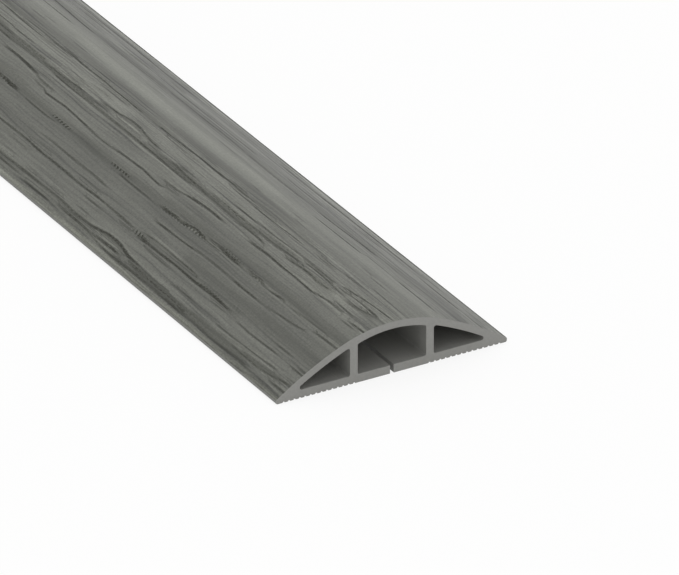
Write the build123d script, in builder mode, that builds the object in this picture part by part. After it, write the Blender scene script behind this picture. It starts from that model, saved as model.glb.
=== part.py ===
from build123d import *
from math import asin, degrees, floor
import os

os.makedirs("parts", exist_ok=True)

# Floor cable cover: one extruded strip of soft vinyl, cut square at both ends.
# X runs across the strip, Y along it, and Z up from the floor it lies on.

# Strip
length = 914.0  # stock length of three feet
width = 60.0
height = 13.0

# Roof: a crown arc over the middle, then a flatter flank arc down to each nose
crown_radius = 34.0
crown_half_width = 13.0
nose_height = 1.05  # upright edge below the foot of the flank
nose_round = 0.45

# Walls
roof_wall = 1.75
base_wall = 2.1
web_wall = 1.95

# Cable channel between the two webs, and the slit that opens its floor
channel_width = 17.8
ceiling_radius = 27.0
channel_round = 0.45
slit_width = 1.0

# Hollow chamber on each side of the channel
chamber_round = 0.55

# Grip grooves along the underside, from near the nose to the web
groove_pitch = 1.4
groove_radius = 0.3
edge_land = 2.0  # plain strip between the outer edge and the first groove

# Places that follow from the sizes above
half_width = width / 2
crown_sweep = degrees(asin(crown_half_width / crown_radius))
channel_top = height - roof_wall
web_inner = channel_width / 2
web_outer = web_inner + web_wall
first_groove = half_width - edge_land
groove_count = floor((first_groove - groove_radius - web_inner) / groove_pitch) + 1
groove_middle = first_groove - (groove_count - 1) * groove_pitch / 2

# Outer outline, drawn for one half and mirrored
with BuildSketch(Plane.XZ) as outline:
    with BuildLine():
        crown = CenterArc((0, height - crown_radius), crown_radius, 90, -crown_sweep)
        flank = TangentArc(crown @ 1, (half_width, nose_height), tangent=crown % 1)
        edge = Line(flank @ 1, (half_width, 0))
        base = Line(edge @ 1, (0, 0))
        Line(base @ 1, crown @ 0)
    make_face()
    mirror(about=Plane.YZ)

# Side chamber: the outline moved in by the roof wall, above the base and outside the web
with BuildSketch(Plane.XZ) as chamber:
    offset(outline.sketch_local, amount=-roof_wall)
    with Locations((web_outer, base_wall)):
        Rectangle(width, height, align=Align.MIN, mode=Mode.INTERSECT)
    corners = chamber.vertices().group_by(Axis.X)
    fillet(corners[0] + corners[-1], chamber_round)

# Cable channel: upright between the webs, with an arched ceiling under the crown
with BuildSketch(Plane.XZ) as channel:
    with Locations((0, base_wall)):
        Rectangle(channel_width, height, align=(Align.CENTER, Align.MIN))
    with Locations((0, channel_top - ceiling_radius)):
        Circle(ceiling_radius, mode=Mode.INTERSECT)
    fillet(channel.vertices(), channel_round)

# The whole section, pulled out to both sides of its middle
with BuildPart() as cable_cover:
    with BuildSketch(Plane.XZ) as section:
        add(outline.sketch_local)
        noses = section.vertices().filter_by(lambda corner: abs(corner.X) > half_width - nose_round)
        fillet(noses, nose_round)
        add(chamber.sketch_local, mode=Mode.SUBTRACT)
        mirror(chamber.sketch_local, about=Plane.YZ, mode=Mode.SUBTRACT)
        add(channel.sketch_local, mode=Mode.SUBTRACT)
        Rectangle(slit_width, 2 * base_wall, mode=Mode.SUBTRACT)
        with Locations((groove_middle, 0), (-groove_middle, 0)):
            with GridLocations(groove_pitch, groove_pitch, groove_count, 1):
                Circle(groove_radius, mode=Mode.SUBTRACT)
    extrude(amount=length / 2, both=True)

cable_cover.part.label = "cable_cover"
export_step(cable_cover.part, "parts/cable_cover.step")
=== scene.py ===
import bpy
import numpy as np
from math import asin, atan2, cos, degrees, pi, radians, sin, sqrt
from mathutils import Matrix, Vector


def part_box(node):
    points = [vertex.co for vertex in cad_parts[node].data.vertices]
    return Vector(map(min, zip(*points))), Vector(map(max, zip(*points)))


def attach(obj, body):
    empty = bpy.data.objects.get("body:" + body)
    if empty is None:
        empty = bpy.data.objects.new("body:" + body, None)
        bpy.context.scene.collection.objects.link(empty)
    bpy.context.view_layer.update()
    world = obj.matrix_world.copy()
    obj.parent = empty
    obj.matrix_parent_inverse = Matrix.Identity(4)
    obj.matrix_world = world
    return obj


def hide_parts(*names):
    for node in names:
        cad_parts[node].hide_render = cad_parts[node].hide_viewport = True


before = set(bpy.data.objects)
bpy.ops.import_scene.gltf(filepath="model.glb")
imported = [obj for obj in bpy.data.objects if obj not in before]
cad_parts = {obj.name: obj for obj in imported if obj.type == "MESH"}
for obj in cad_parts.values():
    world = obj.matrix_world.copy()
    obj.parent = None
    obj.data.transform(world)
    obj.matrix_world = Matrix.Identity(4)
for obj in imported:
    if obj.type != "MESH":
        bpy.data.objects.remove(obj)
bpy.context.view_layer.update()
mm = 0.001
print("frame loaded")


# Cable cover: the section in mm, drawn on the front end and pulled out along the strip

cover = {
    "crownRadius": 34.0,
    "crownHalfWidth": 13.0,
    "noseHeight": 1.05,
    "noseRound": 0.45,
    "roofWall": 1.75,
    "baseWall": 2.1,
    "webWall": 1.95,
    "channelWidth": 17.8,
    "ceilingRadius": 27.0,
    "channelRound": 0.45,
    "slitWidth": 1.0,
    "chamberRound": 0.55,
    "groovePitch": 1.4,
    "grooveRadius": 0.3,
    "grooveCount": 14,
    "edgeLand": 2.0,
    "crownSteps": 45,  # about 0.3 mm between the grain's columns
    "flankSteps": 65,
    "noseSteps": 5,
    "roundSteps": 6,  # small rounds and grooves
    "ceilingSteps": 16,
    "chamberSteps": (3, 24, 8),  # below the crown, below the flank and round the toe
    "mergeDistance": 0.002,
    "smoothAngle": 40.0,
    "rowCuts": (20, 19),  # two rounds of cuts make 420 rows along the strip
    "longEdge": 5.0,  # only edges longer than this are cut
    "roofSlack": 0.004,  # a point this close to the roof's arcs lies on the roof
    "roofMargin": 0.05,  # if it is also this far in from the side
}

boxLow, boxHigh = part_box("cable_cover")
halfWidth = (boxHigh.x - boxLow.x) / 2 / mm
height = boxHigh.z / mm
frontY = boxLow.y
stripLength = boxHigh.y - boxLow.y


def startVertex(x, z):
    # a plane closed up to one point, moved to where the line starts
    bpy.ops.mesh.primitive_plane_add(size=mm, location=(0, 0, 0))
    if bpy.context.mode != "EDIT_MESH":
        bpy.ops.object.mode_set(mode="EDIT")
    bpy.ops.mesh.merge(type="CENTER")
    bpy.ops.transform.translate(value=(x * mm, frontY, z * mm))
    return x, z


def lineTo(pen, x, z):
    bpy.ops.mesh.extrude_region_move(
        TRANSFORM_OT_translate={"value": ((x - pen[0]) * mm, 0, (z - pen[1]) * mm)}
    )
    return x, z


def arcTo(pen, centre, turn, steps):
    # turn is in degrees, clockwise as seen from the front
    bpy.ops.mesh.spin(
        steps=steps,
        angle=-radians(turn),
        center=(centre[0] * mm, frontY, centre[1] * mm),
        axis=(0, 1, 0),
    )
    a = radians(-turn)
    dx, dz = pen[0] - centre[0], pen[1] - centre[1]
    return centre[0] + dx * cos(a) - dz * sin(a), centre[1] + dx * sin(a) + dz * cos(a)


def bearing(centre, point):
    return degrees(atan2(point[1] - centre[1], point[0] - centre[0]))


# flank arc: it leaves the crown on the crown's own tangent and ends at the nose
crownCentre = (0, height - cover["crownRadius"])
crownTurn = degrees(asin(cover["crownHalfWidth"] / cover["crownRadius"]))
outward = (sin(radians(crownTurn)), cos(radians(crownTurn)))
joint = (cover["crownRadius"] * outward[0], crownCentre[1] + cover["crownRadius"] * outward[1])
toNose = (halfWidth - joint[0], cover["noseHeight"] - joint[1])
flankRadius = -(toNose[0] ** 2 + toNose[1] ** 2) / 2 / (toNose[0] * outward[0] + toNose[1] * outward[1])
flankCentre = (joint[0] - flankRadius * outward[0], joint[1] - flankRadius * outward[1])


def roofHeight(x):
    x = np.abs(x)
    crown = crownCentre[1] + np.sqrt(cover["crownRadius"] ** 2 - np.minimum(x, joint[0]) ** 2)
    flank = flankCentre[1] + np.sqrt(flankRadius**2 - (x - flankCentre[0]) ** 2)
    return np.where(x < joint[0], crown, flank)


def drawHalfOutline():
    c = cover
    steps = c["roundSteps"]
    # roof: crown, flank and the rounded nose
    pen = startVertex(0, height)
    pen = arcTo(pen, crownCentre, crownTurn, c["crownSteps"])
    r = c["noseRound"]
    noseX = halfWidth - r
    noseZ = flankCentre[1] + sqrt((flankRadius - r) ** 2 - (noseX - flankCentre[0]) ** 2)
    noseBearing = bearing(flankCentre, (noseX, noseZ))
    pen = arcTo(pen, flankCentre, bearing(flankCentre, joint) - noseBearing, c["flankSteps"])
    pen = arcTo(pen, (noseX, noseZ), noseBearing, c["noseSteps"])
    pen = lineTo(pen, halfWidth, r)
    pen = arcTo(pen, (noseX, r), 90, steps)
    # underside with its grip grooves
    for k in range(c["grooveCount"]):
        grooveX = halfWidth - c["edgeLand"] - k * c["groovePitch"]
        pen = lineTo(pen, grooveX + c["grooveRadius"], 0)
        pen = arcTo(pen, (grooveX, 0), -180, steps)
    # slit, then round the inside of the cable channel to the middle of its ceiling
    slitX = c["slitWidth"] / 2
    r = c["channelRound"]
    wallX = c["channelWidth"] / 2
    ceilingCentre = (0, height - c["roofWall"] - c["ceilingRadius"])
    shoulderZ = ceilingCentre[1] + sqrt((c["ceilingRadius"] - r) ** 2 - (wallX - r) ** 2)
    shoulderBearing = bearing(ceilingCentre, (wallX - r, shoulderZ))
    pen = lineTo(pen, slitX, 0)
    pen = lineTo(pen, slitX, c["baseWall"])
    pen = lineTo(pen, wallX - r, c["baseWall"])
    pen = arcTo(pen, (wallX - r, c["baseWall"] + r), -90, steps)
    pen = lineTo(pen, wallX, shoulderZ)
    pen = arcTo(pen, (wallX - r, shoulderZ), -shoulderBearing, steps)
    arcTo(pen, ceilingCentre, shoulderBearing - 90, c["ceilingSteps"])


def drawChamber():
    c = cover
    crownSteps, flankSteps, toeSteps = c["chamberSteps"]
    r = c["chamberRound"]
    webX = c["channelWidth"] / 2 + c["webWall"]
    floorZ = c["baseWall"]
    crownR = c["crownRadius"] - c["roofWall"]
    flankR = flankRadius - c["roofWall"]
    topX = webX + r
    topZ = crownCentre[1] + sqrt((crownR - r) ** 2 - topX**2)
    topBearing = bearing(crownCentre, (topX, topZ))
    toeZ = floorZ + r
    toeX = flankCentre[0] + sqrt((flankR - r) ** 2 - (toeZ - flankCentre[1]) ** 2)
    toeBearing = bearing(flankCentre, (toeX, toeZ))
    pen = startVertex(webX, toeZ)
    pen = lineTo(pen, webX, topZ)
    pen = arcTo(pen, (topX, topZ), 180 - topBearing, c["roundSteps"])
    pen = arcTo(pen, crownCentre, topBearing - (90 - crownTurn), crownSteps)
    pen = arcTo(pen, flankCentre, bearing(flankCentre, joint) - toeBearing, flankSteps)
    pen = arcTo(pen, (toeX, toeZ), toeBearing + 90, toeSteps)
    pen = lineTo(pen, topX, floorZ)
    arcTo(pen, (topX, toeZ), 90, c["roundSteps"])


def selectEdges(mesh, picked):
    # the mesh is in object mode; only the picked edges go into edit mode selected
    mesh.vertices.foreach_set("select", np.zeros(len(mesh.vertices), bool))
    mesh.polygons.foreach_set("select", np.zeros(len(mesh.polygons), bool))
    mesh.edges.foreach_set("select", picked)
    mesh.update()


def vectorsOf(items, name):
    values = np.empty(len(items) * 3, np.float32)
    items.foreach_get(name, values)
    return values.reshape(-1, 3).astype(float)


def vertexPlaces(mesh):
    return vectorsOf(mesh.vertices, "co") / mm


def onRoof(places):
    x, z = places[:, 0], places[:, 2]
    inside = np.abs(x) < halfWidth - cover["roofMargin"]
    return (np.abs(z - roofHeight(x)) < cover["roofSlack"]) & inside


def cutRows(piece, cuts):
    # only the roof's long edges are cut, so the rest of the strip stays light
    mesh = piece.data
    places = vertexPlaces(mesh)
    ends = np.empty(len(mesh.edges) * 2, np.int32)
    mesh.edges.foreach_get("vertices", ends)
    a, b = places[ends[0::2]], places[ends[1::2]]
    isLong = np.abs(a[:, 1] - b[:, 1]) > cover["longEdge"]
    selectEdges(mesh, isLong & onRoof(a) & onRoof(b))
    bpy.context.tool_settings.mesh_select_mode = (False, True, False)
    bpy.ops.object.mode_set(mode="EDIT")
    bpy.ops.mesh.subdivide(number_cuts=cuts, ngon=True)
    bpy.ops.object.mode_set(mode="OBJECT")


def makeCover():
    bpy.ops.object.select_all(action="DESELECT")
    bpy.context.tool_settings.mesh_select_mode = (True, False, False)
    drawHalfOutline()
    drawChamber()
    bpy.ops.mesh.select_all(action="SELECT")
    bpy.ops.mesh.remove_doubles(threshold=cover["mergeDistance"] * mm)
    bpy.ops.object.mode_set(mode="OBJECT")
    piece = bpy.context.object
    piece.name = "cable_cover_strip"
    piece.data.name = "cable_cover_strip"
    print("half section drawn:", len(piece.data.vertices), "points")

    bpy.ops.object.modifier_add(type="MIRROR")
    mirror = piece.modifiers[-1]
    mirror.use_axis = (True, False, False)
    mirror.merge_threshold = cover["mergeDistance"] * mm
    bpy.ops.object.modifier_apply(modifier=mirror.name)

    # the front end is filled, then the whole section is pulled out to the far end
    bpy.ops.object.mode_set(mode="EDIT")
    bpy.ops.mesh.select_all(action="SELECT")
    bpy.ops.mesh.fill(use_beauty=True)
    bpy.ops.mesh.select_all(action="SELECT")
    bpy.ops.mesh.extrude_region_move(TRANSFORM_OT_translate={"value": (0, stripLength, 0)})
    bpy.ops.mesh.select_all(action="SELECT")
    bpy.ops.mesh.normals_make_consistent(inside=False)
    bpy.ops.object.mode_set(mode="OBJECT")
    print("strip pulled out:", len(piece.data.polygons), "faces")
    bpy.ops.object.shade_smooth_by_angle(angle=radians(cover["smoothAngle"]))
    for cuts in cover["rowCuts"]:
        cutRows(piece, cuts)
    print("roof cut into rows:", len(piece.data.polygons), "faces")
    return piece


coverStrip = makeCover()


# Wood grain pressed into the roof, with painted highlights and painted edge shade among the strokes. Each
# stroke of the drawing has a strength, half its width and its points, across the strip and along it from
# the front end, in mm.

grain = {
    "drawingLength": 114.5,  # past this the drawing runs back, and so on to the far end
    "taper": 3.0,  # a stroke fades in and out over this length
    "lineReach": 1.1,  # a line is forgotten this far to its side
    "reachFade": 0.5,  # and fades over this outer share of the way
    "fullForce": 0.35,  # from this strength a line holds its own against its neighbours
    "pastEnds": 0.01,  # what a line still counts for just past its ends
    "sameLine": 0.3,  # strokes closer than this run on as one line
    "lineParting": 0.3,
    "bandEdge": 0.45,  # how far soft strokes fade out to their sides
    "tickEdge": 0.25,
    "lightEdge": 1.6,
    "glintEdge": 0.5,
    "pressDepth": 0.04,
    "pressWidth": 0.45,
    "bandPress": 0.6,  # bands are pressed this much as deep as lines
    "pressMargin": 0.7,  # nothing is pressed this close to the side
    "edgeFade": 1.2,  # and the relief dies out over this width before it
    "roofDepth": 0.3,  # faces this close below the roof's arcs
    "roofTilt": 0.3,  # whose normals point up this much are grained
    "noseTilt": 0.3,  # outermost faces that point sideways this much are nose
    "lines": [
        # left edge, where one long line opens into an eye
        (0.7, 0.08, [(-27.9, -6), (-27.9, 2), (-28.0, 8)]),
        (0.7, 0.06, [(-25.9, -2), (-26.6, 5), (-27.1, 8), (-27.4, 13), (-27.4, 20), (-27.1, 27)]),
        (0.55, 0.1, [(-28.8, 14), (-28.5, 20), (-28.6, 26), (-28.7, 29), (-28.5, 36), (-28.3, 46)]),
        (0.8, 0.12, [(-28.3, 42), (-28.0, 47), (-27.7, 52), (-27.8, 58), (-27.6, 65)]),
        (0.7, 0.12, [(-28.6, 44), (-28.5, 59), (-28.5, 67), (-28.7, 73), (-28.7, 81)]),
        (0.65, 0.06, [(-28.7, 76), (-28.6, 82), (-28.4, 86), (-28.0, 91)]),
        (0.65, 0.15, [(-28.1, 86), (-27.9, 90), (-27.7, 95), (-27.7, 100), (-27.6, 107)]),
        (0.8, 0.04, [(-27.7, 57), (-27.6, 66), (-27.7, 74)]),
        (0.6, 0.04, [(-27.0, 52), (-27.1, 60), (-26.9, 70)]),
        (0.7, 0.03, [(-27.4, 65), (-27.3, 69), (-27.6, 74)]),
        (1.0, 0.16, [(-26.9, 67), (-26.8, 72), (-26.5, 75), (-26.0, 78), (-25.8, 81), (-25.9, 85),
                     (-26.3, 88), (-26.7, 92)]),
        (0.65, 0.12, [(-26.5, 88), (-26.7, 93), (-26.8, 99), (-26.6, 105), (-26.7, 112), (-26.8, 121)]),
        (0.9, 0.12, [(-27.7, 75), (-27.5, 80), (-27.6, 85), (-27.8, 91)]),
        (0.75, 0.06, [(-28.1, 107), (-28.2, 114), (-28.0, 121)]),
        # fine lines beside it
        (0.5, 0.0, [(-25.3, -6), (-25.3, 5)]),
        (0.65, 0.0, [(-25.4, 6), (-25.5, 11), (-25.7, 15), (-25.8, 20), (-25.9, 26), (-26.0, 35)]),
        (0.55, 0.0, [(-25.5, 45), (-25.4, 50), (-25.5, 57)]),
        (0.35, 0.0, [(-24.8, 46), (-24.8, 56)]),
        (0.75, 0.0, [(-23.2, -6), (-23.2, 7)]),
        (0.5, 0.0, [(-22.4, -6), (-22.4, 5)]),
        (0.65, 0.0, [(-22.9, 10), (-23.1, 18), (-23.3, 24), (-23.1, 28), (-23.1, 31)]),
        (0.35, 0.0, [(-23.1, 33), (-23.1, 43)]),
        (0.6, 0.05, [(-21.5, 6), (-21.5, 16)]),
        (0.5, 0.0, [(-23.5, 60), (-23.4, 67), (-23.2, 74)]),
        (0.5, 0.0, [(-25.2, 93), (-25.2, 101)]),
        (0.5, 0.0, [(-22.9, 92), (-22.9, 102)]),
        (0.35, 0.0, [(-25.4, 104), (-25.5, 113)]),
        # dark line at a third of the flank
        (0.95, 0.08, [(-22.3, 33), (-22.2, 36), (-22.1, 41), (-22.0, 46), (-22.2, 51)]),
        (0.95, 0.08, [(-22.1, 44), (-22.2, 52), (-22.1, 60), (-22.3, 67), (-22.3, 72), (-22.5, 78)]),
        (0.4, 0.0, [(-22.5, 78), (-22.5, 87)]),
        (0.7, 0.06, [(-21.7, 78), (-21.5, 86), (-21.4, 96)]),
        (0.8, 0.06, [(-21.4, 92), (-21.4, 98), (-21.6, 105), (-21.5, 113), (-21.8, 121)]),
        (0.85, 0.03, [(-20.9, 50), (-20.8, 62), (-20.7, 67), (-20.8, 72), (-21.1, 78)]),
        (0.4, 0.0, [(-20.3, 96), (-20.2, 109)]),
        (0.55, 0.08, [(-18.5, 97), (-18.3, 104), (-18.4, 112), (-18.4, 121)]),
        # two long lines up the flank
        (0.65, 0.03, [(-15.4, 11), (-16.0, 15), (-16.2, 19), (-16.5, 25)]),
        (0.4, 0.05, [(-16.4, 20), (-16.7, 25), (-16.8, 34)]),
        (0.95, 0.05, [(-16.8, 29), (-16.9, 38), (-16.8, 44)]),
        (0.5, 0.05, [(-16.8, 41), (-16.7, 48), (-16.8, 55), (-17.0, 62)]),
        (0.85, 0.05, [(-17.0, 57), (-17.3, 66), (-17.4, 72), (-17.6, 78)]),
        (0.75, 0.03, [(-14.3, -6), (-14.3, 4), (-14.5, 11)]),
        (0.5, 0.05, [(-13.0, 4), (-13.1, 9), (-13.4, 14), (-13.6, 23)]),
        # wavering line that the ticks sit on
        (0.95, 0.06, [(-13.4, 24), (-13.2, 27), (-13.5, 29), (-13.6, 33)]),
        (0.65, 0.04, [(-13.6, 31), (-13.6, 34), (-13.0, 37), (-13.4, 39), (-13.1, 44)]),
        (0.55, 0.03, [(-13.4, 42), (-13.4, 46), (-13.5, 50)]),
        (1.0, 0.04, [(-13.6, 45), (-13.5, 48), (-13.4, 52), (-13.2, 57)]),
        (0.75, 0.03, [(-13.5, 52), (-13.8, 55), (-13.8, 61)]),
        (0.7, 0.03, [(-13.2, 52), (-12.9, 55), (-13.0, 58), (-13.3, 62)]),
        (1.0, 0.04, [(-13.8, 59), (-13.7, 62), (-13.3, 65), (-13.6, 68), (-14.1, 70), (-14.1, 74)]),
        (1.0, 0.04, [(-14.1, 71), (-14.0, 74), (-14.4, 77), (-14.2, 82)]),
        (0.65, 0.03, [(-14.6, 83), (-14.7, 90), (-14.7, 95), (-14.4, 101)]),
        (0.5, 0.0, [(-13.4, 94), (-13.6, 98), (-13.8, 102), (-13.9, 107)]),
        # thin lines near the crown
        (0.95, 0.08, [(-7.3, -6), (-7.3, 2), (-7.5, 8)]),
        (0.75, 0.08, [(-8.3, 1), (-8.4, 9)]),
        (0.9, 0.06, [(-6.7, 9), (-6.7, 14), (-6.6, 17), (-7.1, 20), (-7.4, 24)]),
        (1.0, 0.06, [(-7.2, 20), (-7.5, 23), (-7.3, 30), (-7.4, 37), (-7.2, 43), (-7.4, 48), (-7.5, 53)]),
        (0.65, 0.05, [(-6.0, 6), (-5.8, 11), (-5.5, 17)]),
        (0.95, 0.14, [(-7.9, 62), (-7.7, 67), (-7.8, 71), (-8.2, 76), (-8.6, 81)]),
        (0.6, 0.12, [(-8.5, 78), (-9.0, 83), (-9.1, 90)]),
        (0.45, 0.06, [(-9.6, 79), (-10.1, 82), (-10.1, 88)]),
        (0.95, 0.05, [(-10.8, 85), (-10.6, 91), (-10.3, 96), (-10.5, 102), (-10.8, 109)]),
        (0.65, 0.05, [(-10.7, 104), (-11.0, 112), (-11.1, 121)]),
        # hook close to the front end
        (0.35, 0.25, [(-2.2, -5), (-2.2, 5)]),
        (1.0, 0.1, [(-1.8, 2), (-1.6, 5), (-1.5, 10)]),
        (0.75, 0.05, [(-1.5, 6), (-1.5, 10), (-1.6, 14), (-1.9, 18), (-2.0, 22)]),
        (0.75, 0.2, [(-2.2, 2), (-2.5, 6), (-3.2, 9), (-3.5, 12), (-3.6, 15)]),
        (0.8, 0.08, [(0.5, -1), (0.4, 4), (0.3, 8), (0.0, 10), (-0.3, 14), (-0.8, 18), (-1.2, 22)]),
        # lines that run with the crown's band
        (0.8, 0.06, [(-2.8, 15), (-2.8, 20), (-2.5, 25), (-2.3, 29), (-2.4, 37)]),
        (0.7, 0.06, [(-1.6, 21), (-1.8, 25), (-1.6, 29), (-1.6, 36), (-1.7, 43)]),
        (0.85, 0.1, [(-4.1, 18), (-4.3, 23), (-4.6, 26), (-4.2, 29), (-4.2, 33), (-4.6, 36), (-5.0, 41)]),
        (0.5, 0.15, [(-4.1, 23), (-3.9, 30)]),
        (0.7, 0.14, [(-2.8, 33), (-3.4, 38), (-3.8, 42), (-4.1, 48), (-4.0, 53), (-4.0, 62)]),
        (0.8, 0.04, [(-1.7, 39), (-1.8, 44), (-2.0, 48), (-2.1, 51), (-1.9, 58)]),
        (0.75, 0.12, [(-5.8, 46), (-5.4, 51), (-5.4, 56), (-5.6, 63)]),
        (0.75, 0.04, [(-2.3, 55), (-2.2, 68)]),
        (0.65, 0.1, [(-5.5, 59), (-5.3, 68), (-5.2, 76)]),
        (0.85, 0.14, [(-5.1, 73), (-4.8, 78), (-4.6, 83), (-4.4, 87), (-4.1, 91), (-4.1, 96)]),
        (0.8, 0.08, [(-5.4, 80), (-5.6, 88), (-5.6, 95), (-5.5, 100)]),
        (0.75, 0.15, [(-5.5, 94), (-5.4, 104), (-5.3, 114)]),
        (0.7, 0.1, [(-5.3, 108), (-5.4, 121)]),
        (0.5, 0.0, [(-3.7, 75), (-3.6, 84)]),
        (0.55, 0.03, [(-3.4, 81), (-3.3, 93)]),
        (0.55, 0.0, [(-1.7, 80), (-1.6, 85), (-1.7, 92)]),
        (0.6, 0.08, [(-4.4, 97), (-4.1, 107)]),
        (0.8, 0.12, [(-3.3, 99), (-3.1, 104), (-2.7, 108), (-2.2, 111), (-1.9, 115), (-1.9, 121)]),
        (0.6, 0.05, [(-3.9, 107), (-3.9, 121)]),
        # right of the crown
        (0.75, 0.05, [(2.4, 16), (2.5, 27)]),
        (0.55, 0.03, [(1.2, 27), (1.4, 34), (1.8, 38)]),
        (0.55, 0.03, [(2.0, 27), (2.1, 37)]),
        (0.5, 0.12, [(3.1, 33), (3.1, 49)]),
        (0.8, 0.03, [(1.4, 41), (1.4, 48), (1.2, 53), (1.1, 60), (1.2, 67)]),
        (0.65, 0.08, [(2.4, 53), (2.4, 67)]),
        (0.6, 0.03, [(1.2, 64), (1.3, 70), (1.5, 78)]),
        (0.85, 0.05, [(2.3, 63), (2.3, 72), (2.5, 76), (2.4, 84)]),
        (0.9, 0.1, [(2.3, 78), (2.3, 86), (2.5, 91), (2.2, 97), (2.3, 103), (2.2, 112)]),
        (0.45, 0.12, [(2.3, 106), (2.4, 121)]),
        (0.45, 0.05, [(3.1, 70), (3.2, 80)]),
        (0.5, 0.05, [(3.8, 84), (3.8, 94)]),
        (0.55, 0.05, [(0.8, 92), (1.0, 107)]),
        (0.45, 0.0, [(3.9, -4), (4.2, 8), (4.6, 18)]),
        # short dashes on the pale side of the crown
        (0.6, 0.03, [(7.4, 14), (7.4, 23)]),
        (0.4, 0.08, [(8.2, 21), (8.4, 29)]),
        (0.45, 0.08, [(6.4, 48), (6.7, 57)]),
        (0.4, 0.08, [(8.0, 52), (8.2, 60)]),
        (0.45, 0.08, [(6.5, 68), (6.7, 77)]),
        (0.35, 0.08, [(12.8, 92), (13.0, 103)]),
        # thin lines on the right flank
        (0.75, 0.08, [(13.5, 3), (13.7, 14), (13.8, 23)]),
        (0.45, 0.08, [(13.9, 20), (14.1, 37)]),
        (0.85, 0.08, [(13.2, 35), (13.1, 44), (13.0, 58)]),
        (0.4, 0.08, [(19.0, 25), (19.0, 34)]),
        (0.5, 0.12, [(17.4, 25), (17.6, 35)]),
        (1.0, 0.12, [(17.2, 35), (17.1, 44), (16.6, 52), (16.2, 63)]),
        (0.5, 0.25, [(16.4, 67), (16.4, 84), (16.8, 97)]),
        (0.65, 0.18, [(17.0, 95), (17.2, 108), (17.0, 121)]),
        (0.55, 0.1, [(20.4, 65), (20.3, 83)]),
        (0.55, 0.12, [(20.1, 95), (20.2, 108), (20.0, 121)]),
        (0.65, 0.1, [(23.6, -6), (23.4, 4), (23.4, 10)]),
        (0.95, 0.12, [(23.2, 8), (23.2, 18), (23.4, 28)]),
        (0.5, 0.1, [(22.8, 43), (22.9, 59)]),
        (0.6, 0.1, [(25.8, 1), (25.9, 13)]),
        (0.65, 0.1, [(26.1, 21), (26.3, 33)]),
        (0.8, 0.1, [(25.2, 31), (25.5, 40), (25.4, 53)]),
        (0.95, 0.12, [(25.3, 47), (25.5, 62), (25.4, 75)]),
        (0.95, 0.1, [(25.2, 67), (24.9, 82), (25.2, 95)]),
        (0.55, 0.1, [(27.2, 83), (27.3, 101)]),
        (0.45, 0.12, [(25.9, 97), (25.9, 121)]),
        # dark line along the right edge: painted shade where the nose rounds away
        (0.8, 0.1, [(29.4, -6), (29.4, 121)]),
    ],
    "bands": [
        (0.65, 0.35, [(-26.3, 2), (-26.8, 8), (-27.0, 14), (-27.2, 23)]),
        (0.55, 0.6, [(-27.9, 15), (-27.8, 28), (-27.7, 38), (-27.9, 47)]),
        (0.65, 0.6, [(-28.0, 41), (-28.0, 52), (-27.9, 60), (-27.8, 72)]),
        (0.25, 0.9, [(-27.6, 66), (-27.2, 76), (-27.1, 84), (-27.3, 92), (-27.2, 121)]),
        (0.6, 0.25, [(-26.6, 74), (-26.3, 79), (-26.2, 82), (-26.3, 86), (-26.6, 91)]),
        (0.3, 0.7, [(-21.9, 29), (-21.6, 50), (-21.6, 64), (-21.5, 79)]),
        (0.25, 1.4, [(-19.4, -8), (-19.6, 40), (-19.4, 62)]),
        (0.3, 1.0, [(-12.2, -8), (-12.0, 40), (-12.4, 62), (-12.8, 84)]),
        (0.9, 0.1, [(-13.6, 45), (-13.5, 48), (-13.4, 52), (-13.2, 56)]),
        (0.65, 0.05, [(-13.8, 59), (-13.7, 62), (-13.3, 65), (-13.6, 68), (-14.1, 71), (-14.3, 77),
                      (-14.2, 82)]),
        (0.3, 0.9, [(-13.7, 77), (-13.6, 98), (-13.7, 121)]),
        (0.7, 0.3, [(-2.7, 2), (-3.4, 9), (-3.7, 16)]),
        (0.6, 0.3, [(-4.2, 19), (-4.4, 26), (-4.2, 31), (-4.6, 40)]),
        (0.5, 0.6, [(-2.9, 35), (-3.2, 42), (-3.5, 50), (-3.8, 58)]),
        (0.4, 0.2, [(-3.9, -4), (-3.8, 7)]),
        (0.65, 0.8, [(-4.7, 50), (-4.5, 60), (-4.5, 70), (-4.5, 78)]),
        (0.7, 0.5, [(-4.9, 73), (-4.8, 82), (-4.8, 92)]),
        (0.65, 0.65, [(-4.8, 83), (-4.8, 92), (-4.9, 102)]),
        (0.6, 0.4, [(-5.3, 97), (-5.4, 108), (-5.4, 121)]),
        (0.45, 0.4, [(-3.3, 99), (-3.0, 107), (-2.5, 112), (-2.5, 121)]),
        (0.3, 0.5, [(3.1, 39), (3.0, 56), (3.0, 69)]),
        (0.35, 0.6, [(2.5, 101), (2.5, 121)]),
        (0.2, 1.2, [(5.2, 50), (5.4, 66), (5.2, 110)]),
        (0.25, 1.2, [(18.4, -8), (18.0, 30), (17.2, 60), (17.4, 121)]),
        (0.35, 0.5, [(16.6, 63), (16.6, 80), (16.9, 99)]),
        (0.3, 0.5, [(25.0, 27), (25.4, 60), (25.2, 97)]),
    ],
    "lights": [
        (0.3, 1.2, [(12.2, -8), (11.6, 40), (11.0, 74)]),
        (0.7, 0.9, [(10.2, 66), (9.6, 94), (9.5, 121)]),
        (0.25, 0.6, [(-0.3, -8), (0.0, 40), (-0.2, 100)]),
        (0.4, 0.6, [(-0.6, 99), (-0.3, 113)]),
    ],
    "glints": [
        # painted highlight along the rounding of the right nose
        (1.0, 0.3, [(28.3, -8), (28.3, 121)]),
        # painted highlight along the left nose, where light falls on it
        (0.5, 0.1, [(-29.5, 24), (-29.5, 121)]),
        (0.5, 0.1, [(-20.3, 58), (-20.2, 74)]),
        (1.5, 0.1, [(-2.0, 4), (-2.2, 10)]),
        (0.5, 0.1, [(-6.1, 61), (-6.1, 121)]),
        (0.6, 0.1, [(-3.5, 108), (-3.4, 121)]),
        (0.8, 0.1, [(-28.1, 76), (-28.1, 88)]),
        (0.8, 0.1, [(-27.0, 76), (-26.9, 90)]),
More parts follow.
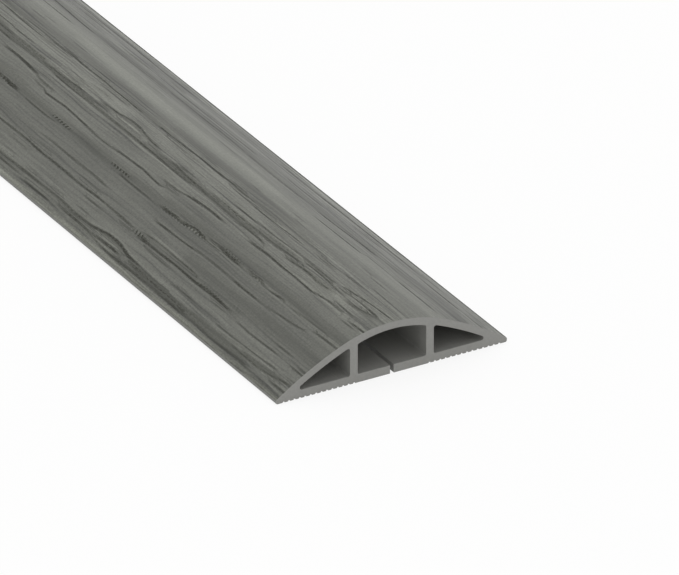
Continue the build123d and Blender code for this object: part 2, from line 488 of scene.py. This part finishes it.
        (0.5, 0.05, [(-27.8, 67), (-27.8, 73)]),
    ],
    "ticks": [
        (0.4, 0.3, [(-21.6, 37), (-21.6, 51)]),
        (0.9, 0.4, [(-22.0, 72), (-21.9, 81)]),
        (0.7, 0.45, [(-13.1, 43), (-12.9, 57)]),
        (0.7, 0.4, [(-13.5, 60), (-13.8, 67), (-14.1, 71), (-14.1, 82)]),
        (1.4, 0.2, [(-13.6, 95), (-13.8, 106)]),
        (0.5, 0.4, [(-13.1, 33), (-13.0, 44)]),
        (0.35, 0.4, [(-21.2, 29), (-20.9, 38)]),
    ],
}


def foldAlong(along):
    length = grain["drawingLength"]
    return length - np.abs(along % (2 * length) - length)


def strokeAt(x, y, stroke):
    # strength of the stroke at each place, and how far the place lies outside it, with its side
    strength, half, points = stroke
    across, places = np.array(points).T
    offset = x - np.interp(y, places, across)
    ends = np.clip(np.minimum(y - places[0], places[-1] - y) / grain["taper"], -1, 1)
    away = np.sign(offset) * np.maximum(np.abs(offset) - half, 0)
    return strength * ends, away


def drawLines(x, y):
    # the line nearest to each place: its strength, and the place's distance to either side;
    # midway to the next line it fades out, so that no false line comes up between the two
    drawn = [strokeAt(x, y, stroke) for stroke in grain["lines"]]

    def nearness(away):
        return np.clip(1 - np.abs(away) / grain["lineReach"], 0, 1)

    def score(force, away):
        # a stroke still tells its sides a little way past its ends
        faint = grain["pastEnds"] * np.clip(1 + force, 0, 1)
        return nearness(away) * (faint + np.clip(force / grain["fullForce"], 0, 1))

    best = np.zeros_like(x)
    side = np.full_like(x, grain["lineReach"])
    for force, away in drawn:
        nearer = score(force, away) > best
        best = np.where(nearer, score(force, away), best)
        side = np.where(nearer, away, side)
    rival = np.zeros_like(x)
    strength = np.zeros_like(x)
    for force, away in drawn:
        same = np.abs(away - side) < grain["sameLine"]
        rival = np.maximum(rival, np.where(same, 0, score(force, away)))
        faded = force * np.clip(nearness(away) / grain["reachFade"], 0, 1)
        strength = np.maximum(strength, np.where(same, faded, 0))
    return strength * np.clip((best - rival) / grain["lineParting"], 0, 1), side


def drawSoft(x, y, strokes, edge):
    field = np.zeros_like(x)
    for stroke in strokes:
        force, away = strokeAt(x, y, stroke)
        fall = np.clip(1 - np.abs(away) / edge, 0, 1)
        field = np.maximum(field, np.maximum(force, 0) * fall * fall * (3 - 2 * fall))
    return field


def drawGrain(mesh):
    # the drawing on the roof's points, as attributes that the material reads
    places = vertexPlaces(mesh)
    roof = onRoof(places)
    x = places[:, 0]
    y = foldAlong(places[:, 1] - frontY / mm)
    line, side = drawLines(x, y)
    light = drawSoft(x, y, grain["lights"], grain["lightEdge"])
    glint = drawSoft(x, y, grain["glints"], grain["glintEdge"])
    drawn = {
        "grainLine": line * roof,
        "grainSide": side * roof,
        "grainBand": drawSoft(x, y, grain["bands"], grain["bandEdge"]) * roof,
        "grainTick": drawSoft(x, y, grain["ticks"], grain["tickEdge"]) * roof,
        # pale wood streaks together with the painted highlight glints
        "paleGrainAndGlint": np.maximum(light, glint) * roof,
    }
    for name, values in drawn.items():
        layer = mesh.attributes.new(name, "FLOAT", "POINT")
        layer.data.foreach_set("value", values.astype(np.float32))
    return drawn


def pressGrain(piece, drawn):
    # the lines and bands as weights, pressed straight down
    x = vertexPlaces(piece.data)[:, 0]
    press = drawn["grainLine"] * np.clip(1 - np.abs(drawn["grainSide"]) / grain["pressWidth"], 0, 1)
    press = np.maximum(press, grain["bandPress"] * drawn["grainBand"])
    press *= np.clip((halfWidth - grain["pressMargin"] - np.abs(x)) / grain["edgeFade"], 0, 1)
    weights = piece.vertex_groups.new(name="grainPress")
    pressed = np.nonzero(press)[0]
    for index in pressed:
        weights.add([int(index)], float(press[index]), "REPLACE")
    bpy.ops.object.modifier_add(type="DISPLACE")
    displace = piece.modifiers[-1]
    displace.direction = "Z"
    displace.mid_level = 0
    displace.strength = -grain["pressDepth"] * mm
    displace.vertex_group = weights.name
    bpy.ops.object.modifier_apply(modifier=displace.name)
    piece.vertex_groups.clear()
    print("grain pressed:", len(pressed), "points")


def sortFaces(mesh):
    # finish 1, the grain, goes on the roof, finish 2 on the noses, and finish 0 everywhere else
    middles = vectorsOf(mesh.polygons, "center") / mm
    normals = vectorsOf(mesh.polygons, "normal")
    depth = roofHeight(middles[:, 0]) - middles[:, 2]
    isRoof = (depth < grain["roofDepth"]) & (normals[:, 2] > grain["roofTilt"])
    isOuter = np.abs(middles[:, 0]) > halfWidth - cover["noseRound"]
    isUpright = np.abs(normals[:, 0]) > grain["noseTilt"]
    finish = np.where(isRoof, 1, np.where(isOuter & isUpright, 2, 0))
    mesh.polygons.foreach_set("material_index", finish.astype(np.int32))
    mesh.update()
    print("faces sorted:", int(isRoof.sum()), "on the roof")


pressGrain(coverStrip, drawGrain(coverStrip.data))
sortFaces(coverStrip.data)


# Materials

plainVinyl = {
    "cutColour": (0.232, 0.231, 0.217),
    "noseColour": (0.165, 0.165, 0.153),
    "bumpDepth": 0.02,
    # moulded skin: turns per mm, how far it is drawn out along the strip, its swings in shade and gloss
    "skin": {
        "Turns": 1.6,
        "Draw Out": 40.0,
        "Shade Swing": 0.2,
        "Roughness": 0.55,
        "Roughness Swing": 0.25,
    },
}

grainedVinyl = {
    "ground": (0.132, 0.135, 0.1165),
    "ink": (0.016, 0.017, 0.0085),
    "bumpDepth": 0.06,
    "skin": {
        "Turns": 2.0,
        "Draw Out": 0.8,
        "Shade Swing": 0.8,
        "Roughness": 0.48,
        "Roughness Swing": 0.12,
    },
    "inkRoughness": 0.15,  # the dark grain is duller
    "noseRoughness": 0.5,  # and so is the roof towards its noses
    "noseDullFrom": 1.5,  # mm in from the side
    # noises in turns per mm across and along the strip, with detail and roughness
    "toneNoise": (0.3, 0.006, 1.0, 0.5),
    "swellNoise": (0.5, 0.11, 1.0, 0.5),
    "fibreNoise": (1.0, 0.022, 1.5, 0.55),
    "hairNoise": (2.0, 0.045, 1.0, 0.5),
    "poreNoise": (3.6, 1.1, 1.0, 0.5),
    "waverNoise": (0.12, 0.05, 1.0, 0.5),
    "waver": 1.1,  # mm that the fibres sway to the side
    "toneSwing": 0.7,  # how much each noise lightens and darkens the ground
    "fibreSwing": 0.9,
    "hairSwing": 1.5,
    "poreSwing": 0.5,
    "fineGain": 2.1,
    "lightSwing": 0.4,
    "lineInk": 0.95,
    "lineSwell": 0.65,  # lines come darker and fainter along their length
    "lineHeart": 0.06,  # a line is fully dark this far from its middle, in mm
    "lineEdge": 0.3,  # and gone here
    "hairRagged": 0.18,  # mm that the noises shift a line's edge
    "poreRagged": 0.3,
    "rimStart": 0.28,  # a painted highlight rim runs beside the line, as on a raised edge, from here
    "rimPeak": 0.45,
    "rimEnd": 0.8,
    "rimHighlightSwing": 0.25,
    "bandInk": 0.75,
    "bandMottle": 2.0,
    "hairInk": 0.45,
    "hairRise": (0.08, 0.26),  # the noise is inked from here to here
    "inkPebble": 1.7,  # speckle in the dark grain
    "tickTurns": (0.32, -0.75),  # slanted ticks, turns per mm across and along
    "tickWander": 0.3,
    "tickJitter": 0.6,
    "tickTooth": 0.3,  # mm that the ticks' wave pushes a line to and fro
    "tickSpread": 0.34,  # mm that ticks broaden the line under them
    "tickInk": 1.1,
    "tickRise": (0.0, 0.5),  # the wave is inked from here to here
    "gapFall": (-0.1, -0.7),  # and leaves a gap down here
    "gapTicks": (0.65, 1.0),  # the gaps between ticks of this strength are paler
    "gapLight": 0.4,
    # amount of fine fibre across the strip, from the left side to the right, in mm
    "fibreZones": [
        (-30, 0.5), (-27, 0.45), (-24.5, 0.22), (-22, 0.25), (-20.5, 0.25), (-15.2, 0.14), (-14.3, 0.35),
        (-12.6, 0.3), (-11.8, 0.2), (-9, 0.2), (-8, 0.34), (-5, 0.5), (3.8, 0.5), (5.5, 0.24),
        (9, 0.14), (12, 0.2), (15, 0.36), (18, 0.55), (24, 0.7), (28, 0.8), (30, 0.5),
    ],
    # broad lighter and darker stripes, where 0.5 leaves the ground as it is; the lift at the left nose is
    # painted light, and the fall to black at the right nose is painted shade
    "toneZones": [
        (-30, 0.64), (-29.5, 0.62), (-29.3, 0.54), (-28.9, 0.41), (-28.5, 0.41), (-28.1, 0.5), (-26, 0.495),
        (-24.5, 0.5), (-23, 0.455), (-19.5, 0.375), (-15, 0.45), (-12.5, 0.405), (-9, 0.525), (-6.5, 0.45),
        (-4.5, 0.56), (-0.5, 0.565), (1.5, 0.51), (3.5, 0.41), (6.5, 0.54), (9.5, 0.605), (13.5, 0.55),
        (15.5, 0.49), (17.5, 0.365), (20, 0.41), (23.5, 0.47), (25.5, 0.475), (27.5, 0.57), (28.8, 0.45),
        (29.4, 0.1), (30, 0.0),
    ],
    "toneGain": 2.0,
}


def newMaterial(name):
    made = bpy.data.materials.new(name)
    made.use_nodes = True
    return made, made.node_tree.nodes, made.node_tree.links


def maths(tree, operation, *values):
    node = tree.nodes.new("ShaderNodeMath")
    node.operation = operation
    for socket, value in zip(node.inputs, values):
        if isinstance(value, (int, float)):
            socket.default_value = value
        else:
            tree.links.new(value, socket)
    return node.outputs[0]


def chain(tree, operation, result, *others):
    for other in others:
        result = maths(tree, operation, result, other)
    return result


def addUp(tree, total, *terms):
    # the total plus each term's value times its weight
    for value, weight in terms:
        total = maths(tree, "MULTIPLY_ADD", value, weight, total)
    return total


def smoothStep(tree, value, low, high):
    node = tree.nodes.new("ShaderNodeMapRange")
    node.interpolation_type = "SMOOTHSTEP"
    tree.links.new(value, node.inputs["Value"])
    node.inputs["From Min"].default_value = low
    node.inputs["From Max"].default_value = high
    return node.outputs["Result"]


def stretchedNoise(tree, vector, across, along, detail, rough):
    # noise drawn out along the strip, running from -0.5 to 0.5
    mapping = tree.nodes.new("ShaderNodeMapping")
    mapping.inputs["Scale"].default_value = (across / mm, along / mm, 0)
    tree.links.new(vector, mapping.inputs["Vector"])
    noise = tree.nodes.new("ShaderNodeTexNoise")
    noise.noise_dimensions = "2D"
    noise.inputs["Scale"].default_value = 1
    noise.inputs["Detail"].default_value = detail
    noise.inputs["Roughness"].default_value = rough
    tree.links.new(mapping.outputs["Vector"], noise.inputs["Vector"])
    return maths(tree, "SUBTRACT", noise.outputs["Fac"], 0.5)


def acrossCurve(tree, across, points):
    # a value by place across the strip; across runs from 0 at the left nose to 1 at the right
    node = tree.nodes.new("ShaderNodeFloatCurve")
    curve = node.mapping.curves[0]
    for x, amount in points[1:-1]:
        curve.points.new(0.5 + 0.5 * x / halfWidth, amount)
    curve.points[0].location = (0, points[0][1])
    curve.points[-1].location = (1, points[-1][1])
    for point in curve.points:
        point.handle_type = "VECTOR"
    node.mapping.update()
    tree.links.new(across, node.inputs["Value"])
    return node.outputs["Value"]


def tint(tree, colour, shade):
    node = tree.nodes.new("ShaderNodeMix")
    node.data_type = "RGBA"
    node.blend_type = "MULTIPLY"
    node.inputs["Factor"].default_value = 1
    node.inputs["A"].default_value = (*colour, 1)
    tree.links.new(shade, node.inputs["B"])
    return node.outputs["Result"]


def bumpFrom(tree, height, depth):
    node = tree.nodes.new("ShaderNodeBump")
    node.inputs["Distance"].default_value = depth * mm
    tree.links.new(height, node.inputs["Height"])
    return node.outputs["Normal"]


def makeVinylSkin():
    # faint mottling of a moulded or drawn surface, shared by all the finishes
    tree = bpy.data.node_groups.new("vinylSkin", "ShaderNodeTree")
    tree.interface.new_socket("Vector", in_out="INPUT", socket_type="NodeSocketVector")
    for name in ("Turns", "Draw Out", "Shade Swing", "Roughness", "Roughness Swing"):
        tree.interface.new_socket(name, in_out="INPUT", socket_type="NodeSocketFloat")
    for name in ("Shade", "Roughness", "Height"):
        tree.interface.new_socket(name, in_out="OUTPUT", socket_type="NodeSocketFloat")
    given = tree.nodes.new("NodeGroupInput").outputs
    wanted = tree.nodes.new("NodeGroupOutput").inputs
    split = tree.nodes.new("ShaderNodeSeparateXYZ")
    tree.links.new(given["Vector"], split.inputs["Vector"])
    drawn = tree.nodes.new("ShaderNodeCombineXYZ")
    tree.links.new(split.outputs["X"], drawn.inputs["X"])
    tree.links.new(maths(tree, "DIVIDE", split.outputs["Y"], given["Draw Out"]), drawn.inputs["Y"])
    tree.links.new(split.outputs["Z"], drawn.inputs["Z"])
    noise = tree.nodes.new("ShaderNodeTexNoise")
    noise.inputs["Detail"].default_value = 1
    tree.links.new(drawn.outputs["Vector"], noise.inputs["Vector"])
    tree.links.new(maths(tree, "DIVIDE", given["Turns"], mm), noise.inputs["Scale"])
    swing = maths(tree, "SUBTRACT", noise.outputs["Fac"], 0.5)
    tree.links.new(addUp(tree, 1, (swing, given["Shade Swing"])), wanted["Shade"])
    tree.links.new(addUp(tree, given["Roughness"], (swing, given["Roughness Swing"])), wanted["Roughness"])
    tree.links.new(swing, wanted["Height"])
    return tree


vinylSkin = makeVinylSkin()


def addSkin(tree, coords, values):
    node = tree.nodes.new("ShaderNodeGroup")
    node.node_tree = vinylSkin
    tree.links.new(coords, node.inputs["Vector"])
    for name, value in values.items():
        node.inputs[name].default_value = value
    return node.outputs


def makePlainVinyl(name, colour):
    made, nodes, links = newMaterial(name)
    tree = made.node_tree
    shader = nodes["Principled BSDF"]
    skin = addSkin(tree, nodes.new("ShaderNodeTexCoord").outputs["Object"], plainVinyl["skin"])
    links.new(tint(tree, colour, skin["Shade"]), shader.inputs["Base Color"])
    links.new(skin["Roughness"], shader.inputs["Roughness"])
    links.new(bumpFrom(tree, skin["Height"], plainVinyl["bumpDepth"]), shader.inputs["Normal"])
    return made


def grainLayer(tree, name):
    node = tree.nodes.new("ShaderNodeAttribute")
    node.attribute_name = name
    return node.outputs["Fac"]


def fibreNoises(tree, coords, place):
    # fibres, hairs and pores; they sway to the side together as they run along the strip
    g = grainedVinyl
    waver = stretchedNoise(tree, coords, *g["waverNoise"])
    sway = tree.nodes.new("ShaderNodeCombineXYZ")
    tree.links.new(addUp(tree, place["X"], (waver, g["waver"] * mm)), sway.inputs["X"])
    tree.links.new(place["Y"], sway.inputs["Y"])
    names = ("fibreNoise", "hairNoise", "poreNoise")
    return [stretchedNoise(tree, sway.outputs["Vector"], *g[name]) for name in names]


def tickWave(tree, place, fibre, pore):
    # a slanted wave, folded along the strip as the drawing is
    g = grainedVinyl
    along = maths(tree, "SUBTRACT", place["Y"], frontY)
    along = maths(tree, "PINGPONG", along, grain["drawingLength"] * mm)
    acrossTurns, alongTurns = g["tickTurns"]
    turns = addUp(tree, 0, (place["X"], acrossTurns / mm), (along, alongTurns / mm))
    turns = addUp(tree, turns, (fibre, g["tickWander"]), (pore, g["tickJitter"]))
    return maths(tree, "SINE", maths(tree, "MULTIPLY", turns, 2 * pi))


def lineDistance(tree, wave, hair, pore):
    # mm to the nearest drawn line, with the ticks' wave and the noises working on its edges
    g = grainedVinyl
    tick = grainLayer(tree, "grainTick")
    tooth = maths(tree, "MULTIPLY", wave, tick)
    away = addUp(tree, grainLayer(tree, "grainSide"), (tooth, g["tickTooth"]))
    away = maths(tree, "ABSOLUTE", away)
    return addUp(tree, away, (tick, -g["tickSpread"]), (hair, g["hairRagged"]), (pore, g["poreRagged"]))


def rimHighlightAndGaps(tree, shade, away, wave):
    # the painted highlight rim beside a line, and the pale gaps between strong ticks
    g = grainedVinyl
    rise = smoothStep(tree, away, g["rimStart"], g["rimPeak"])
    fall = smoothStep(tree, away, g["rimEnd"], g["rimPeak"])
    rim = chain(tree, "MULTIPLY", rise, fall, grainLayer(tree, "grainLine"))
    strong = smoothStep(tree, grainLayer(tree, "grainTick"), *g["gapTicks"])
    gap = maths(tree, "MULTIPLY", strong, smoothStep(tree, wave, *g["gapFall"]))
    return addUp(tree, shade, (rim, g["rimHighlightSwing"]), (gap, g["gapLight"]))


def grainInk(tree, coords, zone, away, wave, hair, pore):
    # the darkest of the drawn lines, bands and ticks and of the fine hairs, with a speckle
    g = grainedVinyl
    heart = smoothStep(tree, away, g["lineEdge"], g["lineHeart"])
    swell = addUp(tree, g["lineInk"], (stretchedNoise(tree, coords, *g["swellNoise"]), g["lineSwell"]))
    line = chain(tree, "MULTIPLY", heart, grainLayer(tree, "grainLine"), swell)
    mottle = addUp(tree, 1, (hair, g["bandMottle"]))
    band = chain(tree, "MULTIPLY", grainLayer(tree, "grainBand"), mottle, g["bandInk"])
    crest = smoothStep(tree, wave, *g["tickRise"])
    tick = chain(tree, "MULTIPLY", grainLayer(tree, "grainTick"), crest, g["tickInk"])
    strand = smoothStep(tree, hair, *g["hairRise"])
    strand = chain(tree, "MULTIPLY", strand, zone, g["hairInk"])
    darkest = chain(tree, "MAXIMUM", line, band, tick, strand)
    return maths(tree, "MULTIPLY", darkest, addUp(tree, 1, (pore, g["inkPebble"])))


def makeGrainedVinyl():
    made, nodes, links = newMaterial("grainedVinyl")
    tree = made.node_tree
    g = grainedVinyl
    shader = nodes["Principled BSDF"]
    coords = nodes.new("ShaderNodeTexCoord").outputs["Object"]
    split = nodes.new("ShaderNodeSeparateXYZ")
    links.new(coords, split.inputs["Vector"])
    place = split.outputs

    # ground: broad stripes, pale streaks with painted glints, fibres and the skin's mottling
    across = addUp(tree, 0.5, (place["X"], 0.5 / halfWidth / mm))
    zone = maths(tree, "MULTIPLY", acrossCurve(tree, across, g["fibreZones"]), g["fineGain"])
    stripe = acrossCurve(tree, across, g["toneZones"])
    tone = stretchedNoise(tree, coords, *g["toneNoise"])
    light = grainLayer(tree, "paleGrainAndGlint")
    fibre, hair, pore = fibreNoises(tree, coords, place)
    fine = addUp(tree, 0, (hair, g["hairSwing"]), (pore, g["poreSwing"]), (fibre, g["fibreSwing"]))
    fine = maths(tree, "MULTIPLY", fine, zone)
    shade = addUp(tree, 1 - 0.5 * g["toneGain"], (stripe, g["toneGain"]), (tone, g["toneSwing"]))
    shade = addUp(tree, shade, (light, g["lightSwing"]), (fine, 1))
    skin = addSkin(tree, coords, g["skin"])
    shade = maths(tree, "MULTIPLY", shade, skin["Shade"])

    # grain printed over it
    wave = tickWave(tree, place, fibre, pore)
    away = lineDistance(tree, wave, hair, pore)
    shade = rimHighlightAndGaps(tree, shade, away, wave)
    ink = grainInk(tree, coords, zone, away, wave, hair, pore)
    colour = nodes.new("ShaderNodeMix")
    colour.data_type = "RGBA"
    colour.inputs["B"].default_value = (*g["ink"], 1)
    links.new(tint(tree, g["ground"], shade), colour.inputs["A"])
    links.new(ink, colour.inputs["Factor"])
    links.new(colour.outputs["Result"], shader.inputs["Base Color"])

    reach = maths(tree, "ABSOLUTE", place["X"])
    nose = smoothStep(tree, reach, (halfWidth - g["noseDullFrom"]) * mm, halfWidth * mm)
    rough = addUp(tree, skin["Roughness"], (ink, g["inkRoughness"]), (nose, g["noseRoughness"]))
    links.new(rough, shader.inputs["Roughness"])
    relief = maths(tree, "SUBTRACT", fine, ink)
    links.new(bumpFrom(tree, relief, g["bumpDepth"]), shader.inputs["Normal"])
    return made


# in the order that sortFaces counts them
coverStrip.data.materials.append(makePlainVinyl("plainVinyl", plainVinyl["cutColour"]))
coverStrip.data.materials.append(makeGrainedVinyl())
coverStrip.data.materials.append(makePlainVinyl("noseVinyl", plainVinyl["noseColour"]))
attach(coverStrip, "root")
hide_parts("cable_cover")
print("cover dressed")


# Floor, lights and camera

studio = {
    "floorHalf": 30.0,  # m; the other views stand far back
    "floorColour": (0.95, 0.95, 0.945),
    "floorRoughness": 0.9,
    "floorWhite": 0.82,  # share of plain white where the floor is looked at
    "worldStrength": 0.88,
    "skyPlace": (0.6, 0.4, 6.0),  # one broad soft light overhead
    "skyAim": (0.0, -0.3, 0.0),
    "skySize": 4.0,
    "skyPower": 36.0,
    "fillPlace": (-0.7, -3.4, 1.0),  # low soft light on the front end
    "fillAim": (0.0, -0.45, 0.0),
    "fillSize": 2.0,
    "fillPower": 8.0,
}

# the view is set from the middle of the front end's base line, in degrees and mm
view = {
    "azimuth": -30.039,
    "elevation": 27.742,
    "distance": 2684.4,
    "sideways": -11.785,
    "upwards": 19.205,
    "sensorWidth": 36.0,
    "lens": 634.06,
    "clipEnd": 200.0,  # m
}


def makeFloor():
    bpy.ops.object.select_all(action="DESELECT")
    bpy.ops.mesh.primitive_plane_add(size=2 * studio["floorHalf"], location=(0, 0, 0))
    floor = bpy.context.object
    floor.name = "floor"
    made, nodes, links = newMaterial("paleFloor")
    tree = made.node_tree
    shader = nodes["Principled BSDF"]
    shader.inputs["Base Color"].default_value = (*studio["floorColour"], 1)
    shader.inputs["Roughness"].default_value = studio["floorRoughness"]
    shader.inputs["Specular IOR Level"].default_value = 0
    white = nodes.new("ShaderNodeEmission")
    path = nodes.new("ShaderNodeLightPath").outputs
    rays = [path[name] for name in ("Is Camera Ray", "Is Glossy Ray", "Is Transmission Ray")]
    seen = chain(tree, "MAXIMUM", *rays)
    blend = nodes.new("ShaderNodeMixShader")
    links.new(maths(tree, "MULTIPLY", seen, studio["floorWhite"]), blend.inputs["Fac"])
    links.new(shader.outputs["BSDF"], blend.inputs[1])
    links.new(white.outputs["Emission"], blend.inputs[2])
    links.new(blend.outputs["Shader"], nodes["Material Output"].inputs["Surface"])
    floor.data.materials.append(made)


def areaLight(name, place, aim, size, power):
    data = bpy.data.lights.new(name, "AREA")
    data.shape = "SQUARE"
    data.size = size
    data.energy = power
    lamp = bpy.data.objects.new(name, data)
    bpy.context.scene.collection.objects.link(lamp)
    lamp.location = place
    lamp.rotation_euler = (Vector(aim) - Vector(place)).to_track_quat("-Z", "Y").to_euler()


def makeWorld():
    world = bpy.data.worlds.new("studio")
    bpy.context.scene.world = world
    world.use_nodes = True
    shader = world.node_tree.nodes["Background"]
    shader.inputs["Color"].default_value = (1, 1, 1, 1)
    shader.inputs["Strength"].default_value = studio["worldStrength"]


def makeCamera():
    azimuth, elevation = radians(view["azimuth"]), radians(view["elevation"])
    back = Vector((sin(azimuth) * cos(elevation), -cos(azimuth) * cos(elevation), sin(elevation)))
    right = Vector((cos(azimuth), sin(azimuth), 0))
    up = back.cross(right)
    offset = view["distance"] * back + view["sideways"] * right + view["upwards"] * up
    data = bpy.data.cameras.new("camera")
    data.sensor_width = view["sensorWidth"]
    data.lens = view["lens"]
    data.clip_end = view["clipEnd"]
    camera = bpy.data.objects.new("camera", data)
    bpy.context.scene.collection.objects.link(camera)
    camera.location = Vector((0, frontY, 0)) + offset * mm
    camera.rotation_euler = Matrix((right, up, back)).transposed().to_euler()
    bpy.context.scene.camera = camera


makeFloor()
makeWorld()
areaLight("skyLight", studio["skyPlace"], studio["skyAim"], studio["skySize"], studio["skyPower"])
areaLight("frontFill", studio["fillPlace"], studio["fillAim"], studio["fillSize"], studio["fillPower"])
makeCamera()
bpy.context.scene.view_settings.view_transform = "Standard"
print("studio ready")
